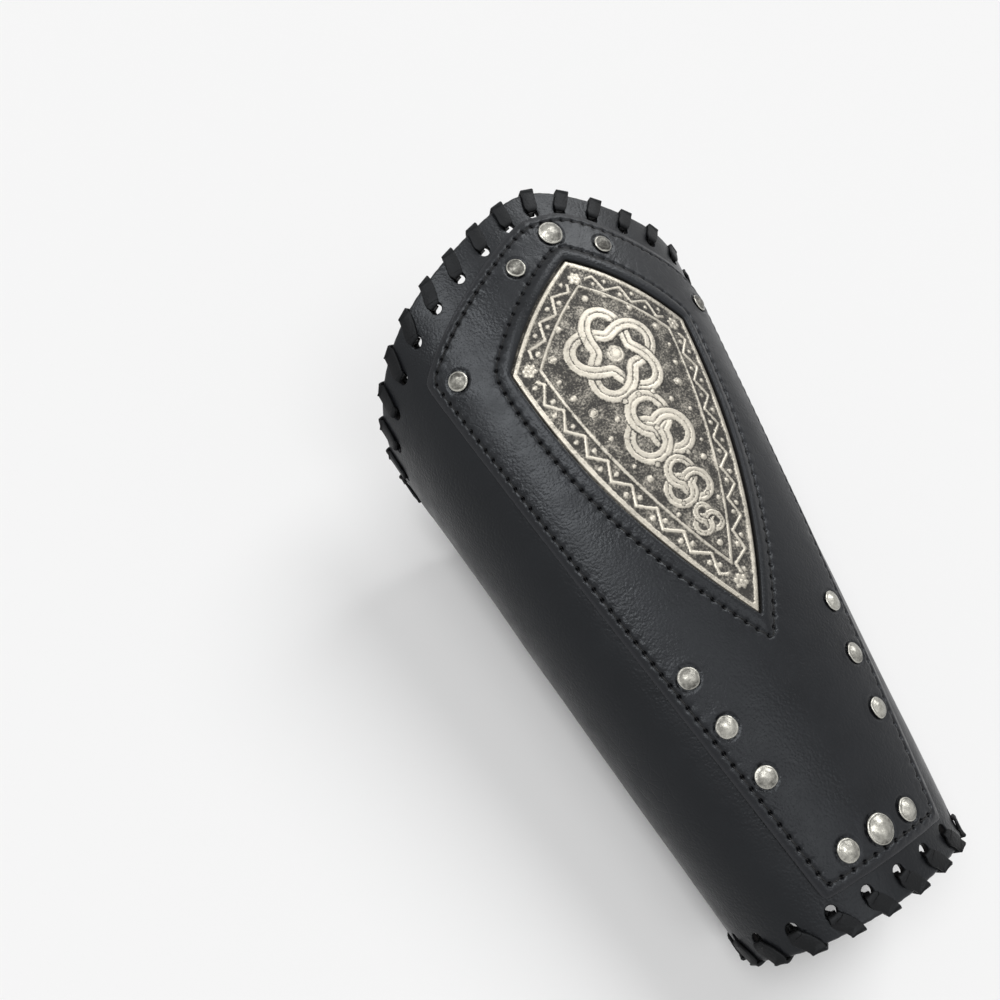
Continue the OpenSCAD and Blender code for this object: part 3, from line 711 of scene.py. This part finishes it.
def build_tarnish():
    """Blackened metal with its high places rubbed bright, and mottled."""
    tree, given = new_group("tarnish", [
        ("Bright", COLOUR, (0.7, 0.7, 0.7, 1)), ("Black", COLOUR, (0.05, 0.05, 0.05, 1)),
        ("High", NUMBER, 1.0), ("Mottle size", NUMBER, 1.0), ("Speckle", NUMBER, 2.0),
        ("Roughness", NUMBER, 0.35)])
    place_on = add(tree, "ShaderNodeTexCoord").outputs["Object"]
    size = maths(tree, "DIVIDE", 1.0, given["Mottle size"])
    speck = add(tree, "ShaderNodeTexNoise", {
        "Vector": place_on, "Scale": times(tree, size, 1300.0),
        "Detail": 5.0, "Roughness": 0.65}).outputs["Fac"]
    cloud = noise_of(tree, place_on, times(tree, size, 210.0), 3.0)
    # On the rivet caps the High mask also carries painted light and shade by place
    wear_and_painted_light = plus(tree, given["High"], times(tree, minus(tree, speck, 0.5), given["Speckle"]))
    wear_and_painted_light = plus(tree, wear_and_painted_light, times(tree, minus(tree, cloud, 0.5), 1.2))
    bright = ranged(tree, wear_and_painted_light, 0.03, 1.04, curve="SMOOTHSTEP")
    colour = mixed(tree, bright, given["Black"], given["Bright"])
    rough = plus(tree, given["Roughness"], times(tree, minus(tree, 1.0, bright), 0.3), True)
    height = plus(tree, times(tree, speck, 0.7), times(tree, cloud, 0.4))
    return put_out(tree, colour, rough, height)


tarnish = build_tarnish()


def metal(name, bright, black, mottle_size, speckle, roughness, pit_depth):
    """Tarnished metal. It reads the piece's mask for how far its surface stands out, which on the rivet
    caps also carries painted light and shade by place.
    """
    material, tree, shader = new_material(name)
    wear_group(tree, shader, tarnish, {
        "Bright": (*bright, 1), "Black": (*black, 1), "High": mask_of(tree, "high"),
        "Mottle size": mottle_size, "Speckle": speckle, "Roughness": roughness}, 0.5, pit_depth)
    shader.inputs["Metallic"].default_value = 0.85
    return material


plate_metal = metal("plate silver", bright=(0.42, 0.392, 0.335), black=(0.048, 0.046, 0.043),
                    mottle_size=1.0, speckle=1.9, roughness=0.38, pit_depth=0.0003)
plate = sheet_piece("emblem_plate_cast", plate_cut, plate_top, plate_under, plate_metal,
                    {"high": (np.clip(shade, 0, 1.1), np.full(len(flat), 0.3))})
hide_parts("emblem_plate")


# Front panel
# A second cut of black leather on top, with a window for the plate. It is
# moulded wet over the plate's edge, sewn to the sleeve beside the ridge that
# this leaves and again inside its own bevelled edge, and riveted through.
panel_low, panel_high = 0.15, 2.15
bevel_w, window_seam, ridge_h, window_gap = 3.3, 4.6, 1.1, 0.2
stitch_pitch = 4.3
cap_r = {True: 4.75, False: 3.65}
seams = {"edge": loop_at(panel_edge, bevel_w, 0.1), "window": loop_at(window, window_seam, 0.1)}
hole_depth = {"edge": 1.35, "window": 1.2}
seam_step = {}
for name, line in seams.items():
    length = np.linalg.norm(line - np.roll(line, -1, 0), axis=1).sum()
    seam_step[name] = len(line) / round(length / stitch_pitch)


def panel_surface(flat):
    """Height of the panel's grain side above the sleeve."""
    angle = np.arctan2(flat[:, 1] - centre_y, flat[:, 0])
    r = np.hypot(flat[:, 0], flat[:, 1] - centre_y)
    near, far = window(angle, 0), window(angle, window_seam)
    q = (r - near) / (far - near)
    brow = np.clip((np.sin(angle) - 0.55) / 0.3, 0, 1)
    to_right = 0.5 + 0.5 * np.cos(angle)
    # The ridge is highest, and its crest furthest out, at the brow and the right
    crest = 0.26 + 0.07 * to_right + 0.2 * brow
    fall = 0.15 + 0.2 * to_right + 0.35 * brow
    ridge = np.where(q < crest, 1 - fall * (np.clip(crest - q, 0, 1) / crest) ** 2,
                     0.5 + 0.5 * np.cos(math.pi * np.clip((q - crest) / (1 - crest), 0, 1)))
    height = panel_high + ridge_h * ridge * (0.62 + 0.38 * np.clip(to_right + 0.6 * brow, 0, 1))
    height += 0.14 * waves(flat, 26, 7) * np.clip(q - 1, 0, 1)
    edge = np.clip(depth_in(panel_sides, flat), 0, None)
    height -= 0.55 * np.clip(1 - edge / 3.0, 0, 1) ** 1.8
    hole_size = {"edge": 0.38, "window": 0.38 - 0.12 * brow}
    for name, line in seams.items():
        off, at = nearest(flat, line)
        phase = at / seam_step[name]
        along = np.abs(phase - np.round(phase)) * stitch_pitch
        height -= 0.22 * np.exp(-(off / 0.4) ** 2)
        height -= hole_depth[name] * np.exp(-(off ** 2 + along ** 2) / hole_size[name])
        height += 0.14 * np.exp(-((off - 1.25) / 0.6) ** 2) * (0.5 - 0.5 * np.cos(2 * math.pi * phase))
    for a, y, large in rivets.values():
        off = np.linalg.norm(flat - [a, y], axis=1) - cap_r[large]
        height -= 0.22 * np.clip(-off, 0, 1)
        swell = 0.16 * np.exp(-((off - 1.3) / 0.7) ** 2) - 0.4 * np.exp(-(off / 0.45) ** 2)
        height += swell * (off > 0)
    return height


panel_outline = loop_at(panel_edge, 0, 0.9)
panel_window = loop_at(window, window_gap, 0.8)
panel_rings = [loop_at(panel_edge, d, 0.8) for d in (0.08, 0.2, 0.4, 0.7, 1.1, 1.6)]
panel_rings += [loop_at(window, window_gap + d, 0.8) for d in (0.1, 0.25, 0.45, 0.75, 1.1, 1.6, 2.2, 2.9)]
seam_steps = (-1.25, -0.9, -0.6, -0.35, -0.12, 0.12, 0.35, 0.6, 0.9, 1.25)
panel_rings += [loop_at(panel_edge, bevel_w + d, 0.42) for d in seam_steps]
panel_rings += [loop_at(window, window_seam + d, 0.42) for d in seam_steps]
panel_holes = [panel_window] + [ring(p, rivet_hole_d / 2, 16) for p in rivets.values()]
for a, y, large in rivets.values():
    panel_rings += [ring((a, y), cap_r[large] + d, 40) for d in (-0.5, 0, 0.4, 0.9, 1.5)]
lies_in = [inside(r, panel_outline) & ~inside(r, panel_window) for r in panel_rings]
panel_rings = [r[keep] for r, keep in zip(panel_rings, lies_in)]
panel_cut = cut_sheet(panel_outline, panel_holes, panel_rings, 1.3)
flat = panel_cut[0]
window_off = nearest(flat, loop_at(window, window_gap, 0.1))[0]
edge_off = nearest(flat, loop_at(panel_edge, 0, 0.1))[0]
panel_top = panel_surface(flat) - rounded(window_off, 0.6) - rounded(edge_off, 0.4)
flange_out = flange_w + 2 * window_gap
lift = np.clip(1 - (window_off - flange_out) / (window_seam - flange_out), 0, 1)
panel_under = panel_low + rounded(edge_off, 0.7) + lift * (flange_high + plate_low - panel_low)
panel_leather = leather(
    "panel leather", dark=(0.0022, 0.0022, 0.0027), light=(0.0075, 0.008, 0.0098),
    edge_wear_and_sheen=(0.030, 0.030, 0.033), flesh=(0.022, 0.020, 0.019),
    grain_size=0.9, roughness=0.34, grain_depth=0.00017, specular=0.29)
# The bevelled strip and the outermost edge are painted lighter: partly rubbed wear, partly a painted
# highlight along the rounded edge
wear_and_sheen = 0.2 * (edge_off < bevel_w - 0.7) + 0.8 * np.clip(1.3 - edge_off / 0.8, 0, 1)
panel = sheet_piece(
    "front_panel_cut", panel_cut, panel_top, panel_under, panel_leather,
    {"edge": (wear_and_sheen, wear_and_sheen), "flesh": (np.zeros(len(flat)), np.ones(len(flat)))})
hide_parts("front_panel")


# Seams
# Waxed black thread, sewn by hand through both leathers. Each stitch lies in
# the groove from one awl hole to the next and dives into it.
thread_d = 0.55


def ring_faces(rows, sides):
    """Faces between rows of like points, each row a closed ring."""
    faces = []
    for first in range(0, (rows - 1) * sides, sides):
        for j in range(sides):
            here, beside = first + j, first + (j + 1) % sides
            faces.append((here, beside, beside + sides, here + sides))
    return faces


def end_faces(rows, sides):
    """Faces that fill the first and the last ring."""
    last = (rows - 1) * sides
    return [tuple(range(sides))[::-1], tuple(range(last, last + sides))]


def all_round(x_way, y_way, count):
    """Directions all round, from x_way by way of y_way."""
    turn = np.arange(count)[:, None] * 2 * math.pi / count
    return np.cos(turn) * x_way + np.sin(turn) * y_way


def tube(points, radii, across, sides=8):
    """Rings round a line in space and the faces between them, closed at both ends."""
    points, radii = np.asarray(points), np.asarray(radii)
    ahead = unit(np.gradient(points, axis=0))
    out = unit(across - (across * ahead).sum(1, keepdims=True) * ahead)
    up = np.cross(ahead, out)
    rings = points[:, None] + radii[:, None, None] * all_round(out[:, None], up[:, None], sides)
    return rings.reshape(-1, 3), ring_faces(len(points), sides) + end_faces(len(points), sides)


def thread_material():
    """Black waxed thread, its two plies showing as a fine slant."""
    material, tree, shader = new_material("waxed thread")
    place_on = add(tree, "ShaderNodeTexCoord").outputs["Object"]
    ply = add(tree, "ShaderNodeTexWave", {
        "Vector": place_on, "Scale": 420.0, "Distortion": 2.0, "Detail": 2.0},
        bands_direction="DIAGONAL").outputs["Fac"]
    colour = mixed(tree, ply, (0.0025, 0.0025, 0.0025, 1), (0.009, 0.009, 0.0095, 1))
    tree.links.new(colour, shader.inputs["Base Color"])
    bump = add(tree, "ShaderNodeBump", {"Strength": 0.7, "Distance": 0.00015, "Height": ply})
    tree.links.new(bump.outputs["Normal"], shader.inputs["Normal"])
    shader.inputs["Roughness"].default_value = 0.5
    shader.inputs["Specular IOR Level"].default_value = 0.25
    return material


waxed_thread = thread_material()
for name, line in seams.items():
    count = round(len(line) / seam_step[name])
    vertices, faces, first = [], [], 0
    s = np.linspace(0, 1, 11)
    round_line, index = np.vstack([line, line[:1]]), np.arange(len(line) + 1)
    for k in range(count):
        at = (k + s) * seam_step[name]
        spot = np.stack([np.interp(at, index, round_line[:, i]) for i in (0, 1)], 1)
        across = left_of(spot)
        spot = spot + across * (s - 0.5)[:, None] * 0.3
        n = panel_high - 0.95 + 0.68 * np.sin(math.pi * s) ** 0.6
        n += 0.03 * math.sin(k * 2.3)
        lead = flat_place(spot, n)
        side_way = unit(flat_place(spot + across * 0.1, n) - lead)
        part, part_faces = tube(lead, thread_d / 2 * (0.75 + 0.25 * np.sin(math.pi * s)), side_way)
        vertices.append(part)
        faces += [tuple(first + i for i in f) for f in part_faces]
        first += len(part)
    new_piece("seam_thread_" + name, np.vstack(vertices), faces, waxed_thread)


# Rivets
# Pressed caps of antiqued nickel with a post each, set through both leathers
# into a back cap with a tube. The elbow and wrist ones are a size larger.
nickel = metal("antique nickel", bright=(0.46, 0.45, 0.405), black=(0.045, 0.043, 0.039),
               mottle_size=1.5, speckle=1.1, roughness=0.24, pit_depth=0.0004)
cap_h = {True: 2.2, False: 1.7}
# Each cap's stepped rim, as inset, height and how far it stands out
cap_rim = {True: [(0.05, 0.5, 0.85), (0.3, 0.68, 0.8), (0.65, 0.72, 0.3)],
           False: [(0.06, 0.42, 0.85), (0.3, 0.56, 0.8), (0.55, 0.62, 0.4)]}
# Each cap's dome, as inset, rise and foot
cap_dome = {True: (0.75, 1.5, 0.7), False: (0.65, 1.08, 0.62)}
# How much brighter or darker each place's caps are painted, as painted light and shade for where they sit
cap_painted_light = {"elbow": 1.04, "wrist": 1.18, "brow": 0.58, "shoulder": 0.6, "cuff": 1.1, "side": 1.05}
seat_gap, back_cap_r = 0.05, 3.1
cap_sides, back_sides = 48, 40


def turned(profile, frame_at, segments):
    """A turned piece: profile rows are radius, height and how far it stands out."""
    profile = np.array(profile)
    middle, x_way, y_way, up = frame_at
    outward = all_round(x_way, y_way, segments)
    rings = middle + profile[:, 0, None, None] * outward + profile[:, 1, None, None] * up
    return rings.reshape(-1, 3), ring_faces(len(profile), segments), np.repeat(profile[:, 2], segments)


def standing_at(u, y, n=0.0):
    """Middle and three directions of a piece that stands on the leather."""
    up = normal(np.array(u))
    along = unit(np.array([0, 1.0, 0]) - up[1] * up)
    return place(u, y, n), np.cross(along, up), along, up


def dome(r, h, low, steps=10):
    bend = (r * r + h * h) / (2 * h)
    return [(r * (1 - i / steps), low + h - bend + math.sqrt(bend * bend - (r * (1 - i / steps)) ** 2))
            for i in range(steps + 1)]


def dented(vertices, name, depth):
    """Small hand-set unevenness, different on each piece."""
    seed = sum(ord(c) for c in name) * 0.37
    middle = vertices.mean(0)
    places = (vertices - middle) * 0.5 + seed
    # One noise for each direction, because Blender's noise_vector differs from run to run
    uneven = [[noise.noise(p + shift) for shift in (9.3, 0.0, 41.7)] for p in places]
    return vertices + depth * np.array(uneven)


def sag(u, y, r):
    """How far the leather's inside falls away under a flat piece of radius r."""
    bend = [arc_r for start, _, arc_r, _, _ in arcs if abs(u) >= start][-1]
    inner = bend * size_at(y) - leather_t
    return inner - math.sqrt(inner * inner - r * r)


for name, (a, y, large) in rivets.items():
    u = a / size_at(y)
    r, h = cap_r[large], cap_h[large]
    # Each place's caps are painted brighter or darker, standing in for the light that falls there
    wear_and_painted_light = cap_painted_light[name.split("_")[0]]
    shape_rows = [(0.95, -4.9, 0.4), (1.15, -4.7, 0.4), (1.15, 0, 0.2), (r - 0.3, 0, 0.05),
                  (r - 0.08, 0.08, 0.15), (r, 0.25, 0.6)]
    shape_rows += [(r - x, z, high) for x, z, high in cap_rim[large]]
    inset, rise, foot = cap_dome[large]
    shape_rows += [(x, z, wear_and_painted_light * (0.45 + 0.2 * z / h)) for x, z in dome(r - inset, rise, foot)[:-1]]
    shape_rows.append((0.12, h, wear_and_painted_light * 0.65))
    vertices, faces, high = turned(shape_rows, standing_at(u, y, panel_high + seat_gap), cap_sides)
    vertices = dented(vertices, name, 0.14)
    faces += end_faces(len(shape_rows), cap_sides)
    cap = new_piece("cap_" + name, vertices, faces, nickel, {"high": high})
    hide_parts("rivet_cap_" + name)
    low = leather_t + sag(u, y, back_cap_r) + 2 * seat_gap
    tube_top = panel_high - seat_gap
    back_rows = [(1.2, -leather_t - 0.5, 0.2), (1.2, tube_top, 0.2), (1.55, tube_top, 0.2),
                 (1.55, -low, 0.2), (2.95, -low, 0.3),
                 (back_cap_r, -low - 0.15, 0.9), (back_cap_r, -low - 0.32, 1.0)]
    back_rows += [(x, -low - z, 0.7 + 0.3 * z) for x, z in dome(2.95, 0.62, 0.38)[:-1]]
    back_rows.append((0.1, -low - 1.0, 1.0))
    vertices, faces, high = turned(back_rows, standing_at(u, y), back_sides)
    faces += end_faces(len(back_rows), back_sides)
    back = new_piece("back_" + name, vertices, faces, nickel, {"high": high})
    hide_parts("rivet_back_" + name)


# Eyelets
# Two-part eyelets of the same nickel along both back edges, for the closing
# lace. Each has a rolled flange outside, and a barrel spread over a washer.
flange_r, washer_t = 4.75, 0.5


def turned_ring(name, rows, frame_at):
    """A turned nickel piece whose profile runs back to its first row."""
    vertices, faces, high = turned([*rows, rows[0]], frame_at, back_sides)
    count = len(vertices) - back_sides
    faces = [tuple(i % count for i in f) for f in faces]
    return new_piece(name, vertices[:count], faces, nickel, {"high": high[:count]})


for name, (u, y) in eyelets.items():
    low = leather_t + sag(u, y, flange_r) + 2 * seat_gap
    flange = [(2.5, 0.3, 0.5), (2.53, 0.55, 0.8), (2.66, 0.75, 1.0), (2.9, 0.87, 1.0), (3.25, 0.9, 1.0),
              (3.7, 0.84, 0.95), (4.2, 0.62, 0.85), (4.6, 0.35, 0.8), (4.74, 0.2, 0.9),
              (flange_r, 0.08, 0.6), (4.66, 0.0, 0.2)]
    barrel = [(2.9, 0.0, 0.1), (2.9, -low - 0.55, 0.2)]
    lip = [(x, -low - z, high) for x, z, high in (
        (3.78, 0.56, 0.7), (3.8, 0.76, 0.9), (3.6, 0.95, 1.0),
        (3.2, 1.0, 1.0), (2.8, 0.97, 0.9), (2.55, 0.8, 0.6))]
    eyelet = turned_ring("eyelet_roll_" + name, flange + barrel + lip, standing_at(u, y, seat_gap))
    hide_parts("eyelet_" + name)
    rows = [(x, -low - z, high) for x, z, high in (
        (2.98, 0, 0.2), (4.6, 0, 0.3), (flange_r, 0.12, 0.8), (flange_r, 0.38, 0.9),
        (4.6, washer_t, 1.0), (3.9, washer_t, 0.5), (2.98, washer_t, 0.2))]
    washer = turned_ring("washer_" + name, rows, standing_at(u, y))
    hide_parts("eyelet_washer_" + name)


# Edge laces
# Flat black lace, one to each edge: up through a hole, leaning out over the
# edge and back inside to the next hole, with its two tails inside.
lace_w, lace_t, lace_gap, corner = 5.2, 1.0, 0.15, 0.28
lace_leather = leather(
    "lace leather", dark=(0.0028, 0.0028, 0.0028), light=(0.008, 0.008, 0.0085),
    edge_wear_and_sheen=(0.02, 0.02, 0.02), flesh=(0.012, 0.012, 0.012),
    grain_size=1.0, roughness=0.55, grain_depth=0.00022, specular=0.17)


def lace_route(elbow):
    """Stations of a lace: along the edge, in from it, height, and the lace's width there."""
    inset, pitch = lace_inset[elbow], lace_pitch[elbow]
    high = lace_gap + lace_t / 2
    low = -leather_t - high
    seat = inset - lace_hole_d / 2 + lace_t / 2 + 0.4
    in_hole = lace_w * 0.42
    marks = lace_marks(elbow)
    first, last = marks[0], marks[-1]
    route = [(first - pitch * 0.8, inset * 0.55, low, lace_w), (first - 1, inset * 0.75, low, lace_w),
             (first, seat - 0.1, low, lace_w * 0.8), (first, seat, -leather_t, in_hole)]
    for mark in marks:
        # The elbow lace leans more the further round to the left it is
        lean = 2.2 + 0.07 * min(max(-mark - 12, 0), 60) if elbow else 4.4
        rows = [(0, seat, -0.9, in_hole), (0, inset - 0.8, high - 0.35, lace_w * 0.7),
                (lean * 0.06, inset - 1.5, high, lace_w * 0.9), (lean * 0.15, inset - 2.6, high, lace_w),
                (lean * 0.55, inset * 0.4, high, lace_w), (lean * 0.9, high, high, lace_w),
                (lean, -high, high, lace_w), (lean * 1.1, -high, low, lace_w),
                (lean * 1.2, high, low, lace_w)]
        if mark != last:
            rows += [((lean + pitch) / 2, inset * 0.4, low, lace_w),
                     (pitch - lean * 0.2, inset * 0.75, low, lace_w),
                     (pitch, seat - 0.1, low, lace_w * 0.8), (pitch, seat, -leather_t, in_hole)]
        route += [(mark + e, d, n, w) for e, d, n, w in rows]
    route.append((last + pitch * 0.8, inset * 0.6, low, lace_w))
    return route


def smooth_line(points, steps):
    """A curve through points, with steps places between each two."""
    p = np.vstack([2 * points[0] - points[1], points, 2 * points[-1] - points[-2]])
    t = np.linspace(0, 1, steps, endpoint=False)[:, None]
    spans = []
    for a, b, c, d in zip(p, p[1:], p[2:], p[3:]):
        spans.append(b + 0.5 * t * (c - a + t * (2 * a - 5 * b + 4 * c - d + t * (3 * (b - c) + d - a))))
    return np.vstack([*spans, points[-1:]])


for elbow, name in ((True, "elbow"), (False, "wrist")):
    route = lace_route(elbow)
    places = np.array([place(*inset_uy(elbow, e, d), n) for e, d, n, _ in route])
    edge_way = np.array([along_edge(elbow, edge_u(elbow, e)) for e, _, _, _ in route])
    rows = smooth_line(np.hstack([places, edge_way, np.array(route)[:, 3:]]), 5)
    line, edge_way, width = rows[:, :3], rows[:, 3:6], rows[:, 6]
    ahead = unit(np.gradient(line, axis=0))
    out = unit(edge_way - (edge_way * ahead).sum(1, keepdims=True) * ahead)
    up = np.cross(ahead, out)
    rings = []
    for cx, cz, start in ((1, 1, 0), (-1, 1, 90), (-1, -1, 180), (1, -1, 270)):
        for turn_deg in (0, 45, 90):
            at = math.radians(start + turn_deg)
            across = cx * (width / 2 - corner) + corner * math.cos(at)
            rise = cz * (lace_t / 2 - corner) + corner * math.sin(at)
            rings.append(line + across[:, None] * out + rise * up)
    sides = len(rings)
    vertices = np.stack(rings, 1).reshape(-1, 3)
    faces = ring_faces(len(line), sides) + end_faces(len(line), sides)
    plain = {"edge": np.zeros(len(vertices)), "flesh": np.zeros(len(vertices))}
    lace = new_piece(name + "_lace_strip", vertices, faces, lace_leather, plain)
    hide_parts(name + "_lace")


# Floor and light
# A plain pale floor, under two broad soft lamps from the left and the right
# and a weak one from the wrist's end.
floor_half = 3
floor_material, _, shader = new_material("pale floor")
shader.inputs["Base Color"].default_value = (0.885, 0.885, 0.885, 1)
shader.inputs["Roughness"].default_value = 0.9
shader.inputs["Specular IOR Level"].default_value = 0.1
floor_mesh = bpy.data.meshes.new("floor")
floor_corners = [(x * floor_half, y * floor_half, 0) for x, y in ((-1, -1), (1, -1), (1, 1), (-1, 1))]
floor_mesh.from_pydata(floor_corners, [], [(0, 1, 2, 3)])
floor_mesh.materials.append(floor_material)
floor = bpy.data.objects.new("floor", floor_mesh)
bpy.context.scene.collection.objects.link(floor)
for name, way, strength, spread in (
        ("left_lamp", (-0.40, 0.12, 0.90), 1.6, 33), ("right_lamp", (0.56, 0.34, 0.76), 1.25, 30),
        ("front_lamp", (0.06, -0.50, 0.86), 0.35, 30)):
    lamp_data = bpy.data.lights.new(name, "SUN")
    lamp_data.energy = strength
    lamp_data.angle = math.radians(spread)
    lamp = bpy.data.objects.new(name, lamp_data)
    lamp.rotation_euler = Vector(way).to_track_quat("Z", "Y").to_euler()
    bpy.context.scene.collection.objects.link(lamp)
world = bpy.data.worlds.new("studio")
world.use_nodes = True
tree = world.node_tree
rays = add(tree, "ShaderNodeLightPath").outputs
seen = maths(tree, "MAXIMUM", rays["Is Camera Ray"], maths(
    tree, "MAXIMUM", rays["Is Glossy Ray"], rays["Is Transmission Ray"]))
fill, white = 0.20, 1.0
tree.nodes["Background"].inputs["Color"].default_value = (0.92, 0.92, 0.92, 1)
strength = ranged(tree, seen, 0.0, 1.0, fill, white)
tree.links.new(strength, tree.nodes["Background"].inputs["Strength"])
bpy.context.scene.world = world
bpy.context.scene.view_settings.view_transform = "Standard"
